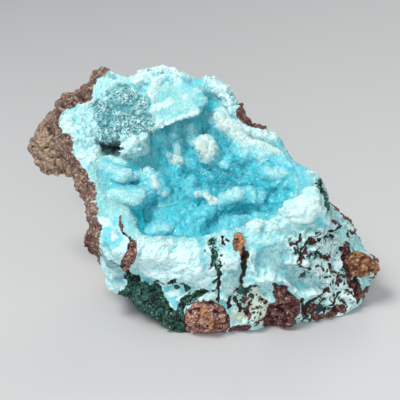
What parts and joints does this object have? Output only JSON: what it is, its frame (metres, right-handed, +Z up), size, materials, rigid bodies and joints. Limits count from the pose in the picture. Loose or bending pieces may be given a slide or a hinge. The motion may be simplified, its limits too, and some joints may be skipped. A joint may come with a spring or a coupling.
{
  "type": "chrysocolla mineral specimen",
  "caption": "Rough chrysocolla specimen with a sparkling blue drusy hollow in a pale turquoise crust on brown matrix, standing on its broken foot.",
  "frame": {"origin": "on the flat that the specimen stands on, below its middle", "axes": "+X to the right along the specimen's length, +Z up; the open hollow faces -Y and up"},
  "size_m": [0.1003, 0.0565, 0.0645],
  "materials": {
    "stone": "rough broken rock: pale turquoise crust, brown matrix, dark green malachite and dark red cuprite",
    "druse": "glassy quartz crystals over translucent blue mounds"
  },
  "bodies": {
    "root": {"stone": "stone", "druse": "druse"}
  },
  "joints": []
}
